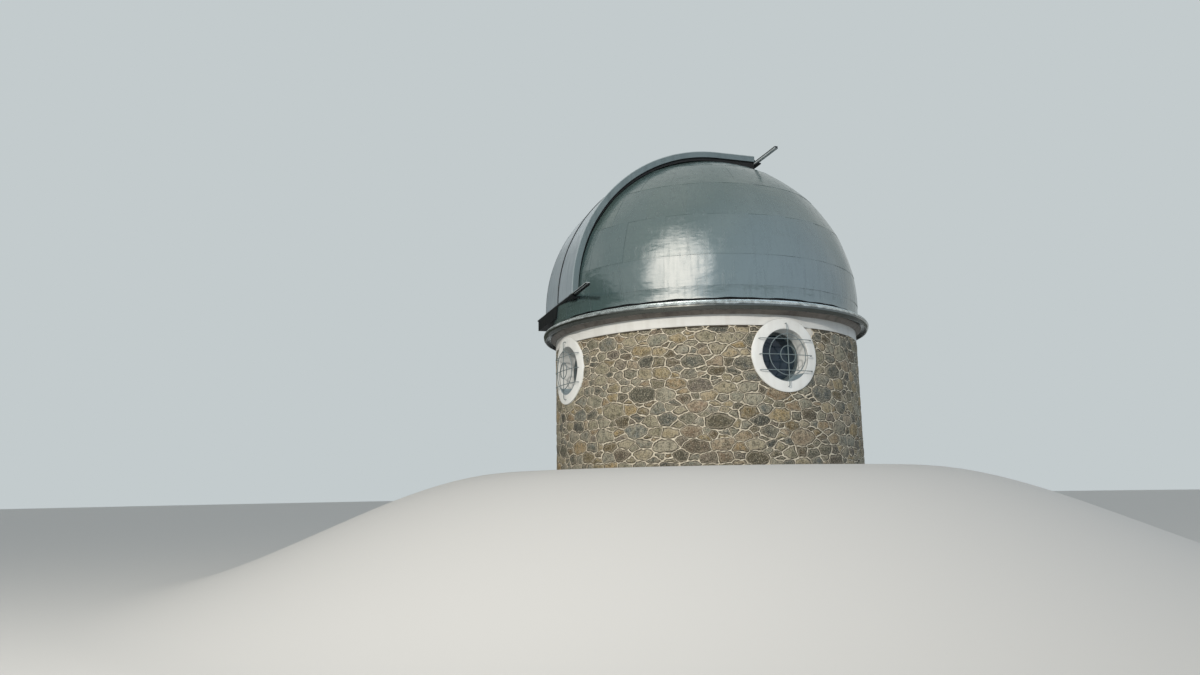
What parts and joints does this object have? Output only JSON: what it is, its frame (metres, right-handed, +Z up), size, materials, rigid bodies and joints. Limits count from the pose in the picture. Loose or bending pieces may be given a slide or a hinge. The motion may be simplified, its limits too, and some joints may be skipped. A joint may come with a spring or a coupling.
{
  "type": "observatory dome",
  "caption": "Round rubble-stone drum with round windows under a turning sheet-metal dome whose slit is closed by arched shutters that slide apart on straight rails.",
  "frame": {"origin": "on the dome's vertical axis at ground level, on the underside of the floor", "axes": "+Z up; -Y is the side that the closed slit faces at rest; the shutters slide along X"},
  "size_m": [7.46, 7.46, 7.22],
  "materials": {
    "stone": "rubble masonry with raised pale lime joints",
    "plaster": "smooth lime plaster, warm white",
    "concrete": "trowelled concrete",
    "flashing": "weathered brown-grey sheet metal",
    "skirt_paint": "glossy silver-grey paint, streaked",
    "dome_paint": "glossy grey-green paint on lapped sheets",
    "shutter_paint": "satin light grey paint",
    "dark_steel": "dark weathered steel",
    "window_paint": "grey-green paint",
    "window_glass": "clear glass over a dark room"
  },
  "bodies": {
    "drum": {"wall_window_right": "stone", "wall_window_rear": "stone", "wall_window_left": "stone", "wall_window_front": "stone", "wall_plain_right": "stone", "wall_plain_rear": "stone", "wall_plain_left": "stone", "wall_plain_front": "stone", "band_right": "plaster", "band_rear": "plaster", "band_left": "plaster", "band_front": "plaster", "surround_right": "plaster", "surround_rear": "plaster", "surround_left": "plaster", "surround_front": "plaster", "window_frame_right": "window_paint", "window_frame_rear": "window_paint", "window_frame_left": "window_paint", "window_frame_front": "window_paint", "window_glass_right": "window_glass", "window_glass_rear": "window_glass", "window_glass_left": "window_glass", "window_glass_front": "window_glass", "floor": "concrete", "wall_ring": "flashing"},
    "dome": {"dome_skirt": "skirt_paint", "skin_front_right": "dome_paint", "skin_right": "dome_paint", "skin_rear_right": "dome_paint", "skin_rear_left": "dome_paint", "skin_left": "dome_paint", "skin_front_left": "dome_paint", "slit_rib_right": "dome_paint", "slit_rib_left": "dome_paint", "slit_sill": "dark_steel", "slit_crossbar": "dark_steel", "front_rail": "dark_steel", "rear_rail": "dark_steel", "rail_bracket_right": "dark_steel", "rail_bracket_left": "dark_steel"},
    "shutter_right": {"shutter_sheet_right": "shutter_paint", "shutter_flange_right": "shutter_paint", "front_wheels_right": "dark_steel", "rear_wheels_right": "dark_steel"},
    "shutter_left": {"shutter_sheet_left": "shutter_paint", "shutter_flange_left": "shutter_paint", "front_wheels_left": "dark_steel", "rear_wheels_left": "dark_steel"}
  },
  "joints": [
    {"name": "dome_turn", "type": "hinge", "parent": "drum", "child": "dome", "pos_m": [0, 0, 3.11], "axis": [0, 0, 1], "continuous": true},
    {"name": "shutter_right_slide", "type": "slide", "parent": "dome", "child": "shutter_right", "axis": [1, 0, 0], "range_m": [0, 0.82]},
    {"name": "shutter_left_slide", "type": "slide", "parent": "dome", "child": "shutter_left", "axis": [-1, 0, 0], "range_m": [0, 0.82]}
  ]
}
